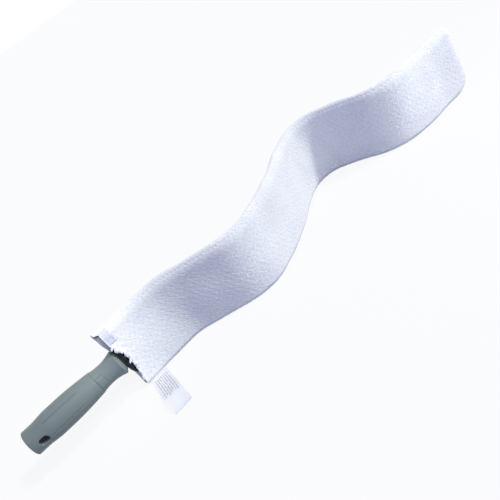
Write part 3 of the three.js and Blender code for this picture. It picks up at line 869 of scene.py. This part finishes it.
def front_recess(height):
    """How far the front ply's pile edge is drawn back below the hem"""
    upper = ease((HEM_LOW - height) / RECESS_UPPER)
    lower = ease((height + WIDTH / 2) / RECESS_LOWER)
    return FRONT_RECESS * upper * lower


def reached(s):
    """The distances s, drawn out to the mouth's uneven edge"""
    fade = np.clip(1 - s / REACH_FADE, 0, 1) ** 2
    recess = (1 - BACKNESS) * front_recess((1 - 2 * LOWNESS) * (WIDTH / 2 - UPPER_ROUNDING))
    return s - mouth_reach() * fade + recess * np.clip(1 - s / RECESS_FADE, 0, 1) ** 2


WAVE_COUNT = 28


def random_field(rng, place, wavelengths):
    """Smooth noise with a spread of 1, from waves that cross the points in random directions"""
    total = np.zeros(place.shape[:-1])
    for _ in range(WAVE_COUNT):
        direction = unit(rng.normal(size=3))
        rate = 2 * np.pi / np.array(wavelengths) * rng.uniform(0.7, 1.4)
        total += np.cos(place @ (direction * rate) + rng.uniform(0, 2 * np.pi))
    return total / math.sqrt(WAVE_COUNT / 2)


def surface_directions(points):
    """Unit normal, and unit tangents along the wand and up the front, of a grid of rings"""
    along = np.gradient(points, axis=0)
    around = np.roll(points, -1, axis=1) - np.roll(points, 1, axis=1)
    return unit(np.cross(along, around)), unit(along), unit(around)


def sleeve_distances():
    """Distances of all rings, even but for the closely spaced ones at the tip's rounded end"""
    places = np.linspace(0, LENGTH, STRETCH_RINGS * len(BENDS) + 1)
    run = TIP_CLOSE_RINGS * GRAIN
    close = places > LENGTH - run
    share = (places[close] - (LENGTH - run)) / run
    places[close] = LENGTH - run * (1 - share) ** TIP_CLOSENESS
    return places


def pile_surface():
    """Points of the whole outer side, with tufts, and each one's height in the pile from 0 to 1, which
    the pile's colour turns into painted shade
    """
    rng = np.random.default_rng(11)
    s = reached(sleeve_distances()[:, None])
    side, height = outer_section(np.maximum(s, 0))
    tip_reach = mix(TIP_REACH_LOW, TIP_REACH_HIGH, height / WIDTH + 0.5)
    tip_share = ease((s - TIP_REACH_START) / (LENGTH - TIP_REACH_START))
    points = on_ribbon(s + tip_reach * tip_share, side, height)
    normal, along, around = surface_directions(points)
    place = stacked(s, height, side)

    raised = (np.indices(side.shape).sum(axis=0) % 2).astype(float)
    sunk = rng.uniform(-TUFT_LOW, 0, side.shape)
    tuft = mix(sunk, rng.uniform(TUFT_LOW, TUFT_HIGH, side.shape), raised)
    clump = random_field(rng, place, CLUMP_WAVES)
    rise = tuft + CLUMP * clump - PILE_SINK
    lean_down = raised * rng.uniform(0.2, 1.2, side.shape) * TUFT_LEAN
    stray = 0.4 * rng.normal(size=side.shape)
    lean_along = raised * (stray + 0.5 * random_field(rng, place, LEAN_WAVES))
    wobble = UNDULATION * random_field(rng, place, UNDULATION_WAVES)

    # Sewn edges: a narrow groove beside each long edge, drawn in by every stitch
    from_edge = WIDTH / 2 - np.abs(height)
    groove = np.exp(-((from_edge - SEAM_FROM_EDGE) / SEAM_WIDTH) ** 2)
    phase = 2 * np.pi * s / PUCKER_PITCH + 0.8 * random_field(rng, place, PUCKER_WAVES)
    stitch = PUCKER_MEAN + (1 - PUCKER_MEAN) * np.cos(phase)
    above = height > 0
    rise -= groove * SEAM_DEPTH * stitch * np.where(above, 1.0, 0.6)
    rim = ease(1 - from_edge / SEAM_FROM_EDGE)
    rise += rim * RIM_PUFF * (stitch - PUCKER_MEAN) * np.where(above, 1.0, 0.5)

    # No pile under the hem
    near_mouth = ease((HEM_LENGTH + HEM_BLEND / 2 - s) / HEM_BLEND)
    bare = near_mouth * ease((height - HEM_LOW) / HEM_BLEND) * (side < 0)
    rise = mix(rise, -HEM_SINK, bare)
    calm = 1 - bare

    up_jitter = JITTER * rng.uniform(-1, 1, side.shape)
    along_jitter = JITTER * rng.uniform(-1, 1, side.shape)
    points = points + normal * (rise + wobble * calm)[..., None]
    points += around * (up_jitter * calm)[..., None]
    points += along * ((along_jitter + TUFT_LEAN * lean_along) * calm)[..., None]
    points[..., 2] -= lean_down * calm
    points[..., 2] = np.maximum(points[..., 2], ORIGIN[2] + FLOOR_HEIGHT)
    # Painted shade: how deep a point lies in the pile sets how shaded its colour is painted
    depth = np.clip((tuft + CLUMP * clump + TUFT_LOW + CLUMP) / (TUFT_HIGH + TUFT_LOW + 2 * CLUMP), 0, 1)
    return s, points, surface_directions(points)[0], mix(depth, 0.6, bare)


def fill_maps(mesh, cloth, depth=None, bake=False):
    """Writes the cloth's own coordinates, the pile's depth for its painted shade, and a map that fills
    the unit square once
    """
    corners = np.empty(len(mesh.loops), np.int32)
    mesh.loops.foreach_get("vertex_index", corners)
    maps = {CLOTH_MAP: cloth[corners]}
    if bake:
        low, high = cloth.min(axis=0), cloth.max(axis=0)
        maps[BAKE_MAP] = (cloth[corners] - low) / (high - low)
    for name, places in maps.items():
        layer = mesh.uv_layers.new(name=name)
        layer.uv.foreach_set("vector", places.astype(np.float32).ravel())
    mesh.uv_layers.active = mesh.uv_layers[CLOTH_MAP]
    if depth is not None:
        attribute = mesh.attributes.new(PILE_SHADE_ATTRIBUTE, "FLOAT", "POINT")
        attribute.data.foreach_set("value", depth.astype(np.float32))


def make_stretch(number, s, points, normals, depth):
    """One stretch of the sleeve: pile outside, lining inside, closed at both ends"""
    first = number * STRETCH_RINGS
    chosen = slice(first, first + STRETCH_RINGS + 1)
    outer = points[chosen]
    is_tip = number == len(BENDS) - 1
    inner_end = LENGTH - TIP_SEAM if is_tip else (number + 1) * PITCH
    inner_s = reached(np.linspace(number * PITCH, inner_end, LINING_RINGS)[:, None])
    inner_side, inner_height = lining_section(inner_s)
    inner = on_ribbon(inner_s, inner_side, inner_height)
    inner_first = len(outer) * COLUMNS
    outer_last = inner_first - COLUMNS
    inner_last = inner_first + (LINING_RINGS - 1) * COLUMNS
    faces = tube_faces(len(outer), COLUMNS, inside_out=True)
    faces += tube_faces(LINING_RINGS, COLUMNS, inner_first)
    faces += joined_rings(0, inner_first, COLUMNS)
    partner = lambda c: (2 * FACE_COLUMNS + ARC_COLUMNS - c) % COLUMNS
    if is_tip:
        for last, order in ((outer_last, -1), (inner_last, 1)):
            for c in range(-ARC_COLUMNS // 2, FACE_COLUMNS + ARC_COLUMNS // 2):
                a, b = c % COLUMNS, (c + 1) % COLUMNS
                quad = [last + a, last + b, last + partner(b), last + partner(a)]
                quad = list(dict.fromkeys(quad))
                if len(quad) > 2:
                    faces.append(quad[::order])
    else:
        faces += [quad[::-1] for quad in joined_rings(outer_last, inner_last, COLUMNS)]
    joined = lambda a, b: np.concatenate([part.reshape(-1, part.shape[-1]) for part in (a, b)])
    made = new_object(f"sleeve_cloth_{number:02d}", joined(outer, inner), faces)
    around = np.arange(COLUMNS) * GRAIN
    cloth = joined(stacked(s[chosen], around), stacked(inner_s - PITCH, around))
    # Painted shade: the lining gets the colour of shaded pile, for the dark inside of the sleeve
    lining_shade_depth = np.full(LINING_RINGS * COLUMNS, LINING_SHADE_DEPTH)
    fill_maps(made.data, cloth, np.concatenate([depth[chosen].ravel(), lining_shade_depth]), bake=True)
    shown = joined(normals[chosen], -surface_directions(inner)[0])
    made.data.normals_split_custom_set_from_vertices(shown.tolist())
    return made


def ride_stretch(made, number):
    """The first stretch rides on the handle and the last on the last link. The ones between them stay
    where they lie.
    """
    if number == 0:
        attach(made, "handle")
    elif number == len(BENDS) - 1:
        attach(made, f"link_{number - 1:02d}")
    else:
        inset = (THICKNESS / 2 + TUFT_HIGH) * abs(math.sin(math.radians(BENDS[number] / 2)))
        start, end = on_ribbon(np.array([number * PITCH + inset, (number + 1) * PITCH - inset]), 0.0, 0.0)
        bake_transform(made)
    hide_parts(f"sleeve_section_{min(number, len(BENDS) - 2):02d}")


def make_sleeve():
    s, points, normals, depth = pile_surface()
    for number in range(len(BENDS)):
        made = make_stretch(number, s, points, normals, depth)
        dress(made, PILE_CLOTH)
        ride_stretch(made, number)


# Mouth: hem tape with its rolled edge and stitches, and the loose tufts of the pile's edge

def on_front(s, height, under):
    """Points under the sleeve's front, and its upper edge's rounding, at a depth"""
    share = np.clip((height - (WIDTH / 2 - UPPER_ROUNDING)) / UPPER_ROUNDING, 0, 0.999)
    side = -(sleeve_half(np.maximum(s, 0)) - under) * np.sqrt(1 - share ** 2)
    return on_ribbon(s, side, height - under * share)


def make_hem():
    """Flat woven tape on the front of the mouth, tucked under the pile's edge at its lower end, with
    a rolled edge that hooks back there and two stitches"""
    s = np.linspace(0, HEM_LENGTH, 13)[:, None]
    height = np.linspace(HEM_TUCK, HEM_TOP, 41)[None, :]
    puff = HEM_PUFF * np.sin(np.pi * np.clip(s / HEM_LENGTH, 0, 1))
    ripple = HEM_RIPPLE * np.sin(height * HEM_RIPPLE_RATE) * (s / HEM_LENGTH)
    dive = HEM_DIVE * ease((HEM_LOW + HEM_BLEND - height) / HEM_BLEND)
    depth = HEM_SINK - HEM_THICKNESS - puff + ripple + dive
    front = on_front(s, height, depth)
    back = on_front(s, height, depth + HEM_THICKNESS)
    hem = loft("hem_tape", np.concatenate([front, back[:, ::-1]], axis=1))
    fill_maps(hem.data, own_places(hem)[:, [0, 2]])
    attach(dress(hem, HEM_CLOTH), "handle")
    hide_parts("mouth_hem")

    height = np.linspace(HEM_TOP, HEM_HOOK, 26)
    edge = on_front(0 * height - HEM_ROLL_OUT, height, HEM_SINK - HEM_ROLL_LIFT)
    turn = np.radians(np.linspace(20, 200, 10))
    along, up = HOOK_RADIUS * (1 - np.cos(turn)), HEM_HOOK - HOOK_RADIUS * np.sin(turn)
    hook = on_front(along, up, HEM_SINK - HEM_ROLL_LIFT)
    roll = tube("hem_roll", np.concatenate([edge, hook]), HEM_ROLL_RADIUS)
    fill_maps(roll.data, own_places(roll)[:, [1, 2]])
    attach(dress(roll, ROLL_CLOTH), "handle")

    for number in range(STITCHES):
        share = np.linspace(0, 1, 9)
        height = STITCH_START + number * STITCH_PITCH + STITCH_LENGTH * share
        dip = STITCH_DIP * (1 - np.sin(np.pi * share))
        path = on_front(STITCH_PLACE + 0 * height, height, HEM_SINK - STITCH_LIFT + dip)
        stitch = tube(f"hem_stitch_{number:02d}", path, STITCH_RADIUS, 6)
        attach(dress(stitch, STITCH_THREAD), "handle")


def make_fringe():
    """Tufts that hang over the front edge of the mouth, below the hem"""
    rng = np.random.default_rng(5)
    points, faces, cloth = [], [], []
    sides, rings = 8, 7
    profile = np.array([0.75, 0.95, 1.0, 1.0, 0.93, 0.75, 0.35])
    angle = np.linspace(0, 2 * np.pi, sides, endpoint=False)
    height = FRINGE_TOP
    while height > FRINGE_BOTTOM:
        small = rng.random() < 0.2
        worn = 1 - 0.6 * math.exp(-((height - FRINGE_GAP) / FRINGE_GAP_WIDTH) ** 2)
        length = FRINGE_LENGTH * rng.uniform(0.7, 1.1) * (0.6 if small else 1.0) * worn
        radius = FRINGE_RADIUS * rng.uniform(0.75, 1.2) * (0.7 if small else 1.0)
        share = np.linspace(0, 1, rings)[:, None]
        root_place = front_recess(height) + rng.uniform(0.0012, 0.0030)
        root = on_front(root_place, height, rng.uniform(0.0002, 0.0010))
        heading = unit([-rng.uniform(0.6, 1.0), -rng.uniform(0.0, 0.5), -rng.uniform(0.1, 0.9)])
        sag = np.array([rng.uniform(-0.2, 0.2), rng.uniform(-0.2, 0.2), -rng.uniform(0.1, 0.5)])
        path = root + length * (share * heading + share ** 2 * sag)
        across = unit(np.cross(heading, (0, 1, 0)))
        third = np.cross(heading, across)
        uneven = 1 + 0.03 * rng.normal(size=(rings, sides, 1))
        size = radius * profile[:, None, None] * uneven
        ring = np.cos(angle)[None, :, None] * across + np.sin(angle)[None, :, None] * third
        first = len(points) * rings * sides
        points.append(path[:, None] + size * ring)
        faces += tube_faces(rings, sides, first)
        faces.append(tuple(range(first, first + sides))[::-1])
        faces.append(tuple(range(first + (rings - 1) * sides, first + rings * sides)))
        cloth.append(stacked(height + length * share, angle * radius))
        height -= FRINGE_PITCH * rng.uniform(0.45, 1.0)
    points = np.array(points)
    points[..., 2] = np.maximum(points[..., 2], ORIGIN[2] + FLOOR_HEIGHT)
    fringe = new_object("mouth_fringe", points, faces)
    # Painted shade: the tufts get a darker colour, for the shade they hang in
    depth = np.full(len(fringe.data.vertices), FRINGE_SHADE_DEPTH)
    fill_maps(fringe.data, np.array(cloth).reshape(-1, 2), depth)
    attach(dress(fringe, PILE_CLOTH), "handle")


# Care label: satin ribbon that leaves the lower edge and lies on the floor in a low arch

def make_label():
    rows, columns = 61, 19
    share = np.linspace(0, 1, rows)[:, None]
    across = np.linspace(0, 1, columns)[None, :]
    rise = LABEL_LIFT + LABEL_ARCH * np.sin(np.pi * share ** 2) ** 2
    edge = 2 * across - 1
    curl = LABEL_CURL * edge ** 2 * share ** 3 + LABEL_TWIST * edge * share ** 2
    rise = np.maximum(rise + curl, LABEL_LIFT)
    x = LABEL_INSET + LABEL_WIDTH * (1 - across)
    y = -(LABEL_START + LABEL_LENGTH * share) - LABEL_SKEW * across * share
    lower = stacked(x, y, FLOOR_HEIGHT + rise)
    upper = lower + (0, 0, LABEL_THICKNESS)
    label = loft("satin_label", np.concatenate([lower, upper[:, ::-1]], axis=1) + ORIGIN)
    x, y, _ = own_places(label).T
    fill_maps(label.data, stacked(-y - LABEL_START, x - LABEL_INSET))
    sharpen(label, 50)
    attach(dress(label, LABEL_SATIN), "handle")
    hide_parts("care_label")


make_sleeve()
make_grip()
make_collar()
make_button()
make_spring()
make_hem()
make_fringe()
make_label()

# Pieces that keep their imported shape
KEPT = {
    "frame_plastic": (FRAME_PLASTIC, ["frame_base"] + [f"spine_plate_{k:02d}" for k in range(1, 11)]),
    "core_steel": (CORE_STEEL, [f"core_strip_{k:02d}" for k in range(11)]),
}
for slot_name, (material, names) in KEPT.items():
    for name in names:
        dress(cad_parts[name], material)


# Stage, light and camera: headings and elevations are in degrees, as seen from what is lit

FLOOR_HALF_SIZE = 20.0
FLOOR_COLOUR = (0.40, 0.42, 0.50)
FLOOR_GLOW = 1.09
FLOOR_GLOW_SHARE = 0.82
SKY_COLOUR = (0.68, 0.71, 0.97)
SKY_STRENGTH = 0.62
SUN = {"heading": -30, "elevation": 47, "energy": 2.1, "colour": (1.0, 1.0, 0.84), "width": 7}
TIP_LAMP = {"heading": -60, "elevation": 35, "distance": 0.34, "size": 0.16, "colour": (1.0, 1.0, 0.90)}
BEAM = {"heading": -62, "elevation": 42, "distance": 0.30, "size": 0.05, "colour": (1.0, 1.0, 0.92)}
BEAM_SIDE = -0.008


def make_floor():
    """Paper that shows white to the camera, and lights the duster from below as pale grey"""
    far = FLOOR_HALF_SIZE
    corners = [(-far, -far, 0), (far, -far, 0), (far, far, 0), (-far, far, 0)]
    floor = new_object("floor", corners, [(0, 1, 2, 3)])
    nodes = Nodes(bpy.data.materials.new("floor_paper"))
    nodes.set(Base_Color=FLOOR_COLOUR, Roughness=0.8, Specular_IOR_Level=0.1)
    glow = nodes.add("ShaderNodeEmission", Strength=FLOOR_GLOW)
    nodes.show_directly(glow, "Material Output", FLOOR_GLOW_SHARE, "Is Camera Ray", "Is Glossy Ray")
    floor.data.materials.append(nodes.owner)


def make_world():
    """Lilac sky that lights the scene, and a white one that the camera sees"""
    nodes = Nodes(bpy.data.worlds.new("studio"), "Background")
    bpy.context.scene.world = nodes.owner
    nodes.set(Color=SKY_COLOUR, Strength=SKY_STRENGTH)
    white = nodes.add("ShaderNodeBackground", Color=(1, 1, 1))
    nodes.show_directly(white, "World Output", 1, "Is Camera Ray", "Is Glossy Ray", "Is Transmission Ray")


def towards(heading, elevation):
    """Unit vector at a heading and an elevation"""
    heading, elevation = math.radians(heading), math.radians(elevation)
    level = math.cos(elevation)
    return Vector((math.cos(heading) * level, math.sin(heading) * level, math.sin(elevation)))


def add_light(name, kind, direction, energy, colour):
    """A light that lies in a direction from what it shines on"""
    light = bpy.data.lights.new(name, kind)
    light.energy = energy
    light.color = colour
    lamp = bpy.data.objects.new(name, light)
    lamp.rotation_mode = "QUATERNION"
    lamp.rotation_quaternion = direction.to_track_quat("Z", "Y")
    bpy.context.scene.collection.objects.link(lamp)
    return lamp


def add_soft_box(name, kind, s, side, energy, spread):
    """A round soft box that shines on the wand at the distance s"""
    direction = towards(kind["heading"], kind["elevation"])
    lamp = add_light(name, "AREA", direction, energy, kind["colour"])
    lamp.location = Vector(on_ribbon(s, side, 0.0)) + kind["distance"] * direction
    lamp.visible_camera = False
    lamp.data.shape = "DISK"
    lamp.data.size = kind["size"]
    lamp.data.spread = math.radians(spread)


def make_lights():
    sun = add_light("sun", "SUN", towards(SUN["heading"], SUN["elevation"]), SUN["energy"], SUN["colour"])
    sun.data.angle = math.radians(SUN["width"])
    add_soft_box("tip_lamp", TIP_LAMP, s=LENGTH - 0.08, side=0.0, energy=0.40, spread=180)
    add_soft_box("mouth_lamp", BEAM, s=-0.026, side=BEAM_SIDE, energy=0.0175, spread=35)
    add_soft_box("near_lamp", BEAM, s=0.170, side=BEAM_SIDE, energy=0.0024, spread=26)
    add_soft_box("far_lamp", BEAM, s=0.499, side=BEAM_SIDE, energy=0.0042, spread=24)


def make_camera():
    """The photograph's view, from a fit to the sleeve's edges"""
    azimuth, elevation, roll, distance = -14.6, 29.9, math.radians(35.7), 0.599
    aim = Vector((0.1751, -0.0164, 0)) + Vector(ORIGIN)
    back = towards(azimuth - 90, elevation)
    right = towards(azimuth, 0)
    up = back.cross(right)
    across = math.cos(roll) * right - math.sin(roll) * up
    upright = math.sin(roll) * right + math.cos(roll) * up
    data = bpy.data.cameras.new("camera")
    data.lens = 39.6
    data.sensor_width = 36
    data.clip_start, data.clip_end = 0.01, 100
    camera = bpy.data.objects.new("camera", data)
    turned = Matrix((across, upright, back)).transposed()
    camera.matrix_world = Matrix.Translation(aim + distance * back) @ turned.to_4x4()
    bpy.context.scene.collection.objects.link(camera)
    bpy.context.scene.camera = camera


make_floor()
make_world()
make_lights()
make_camera()
bpy.context.scene.view_settings.view_transform = "Standard"
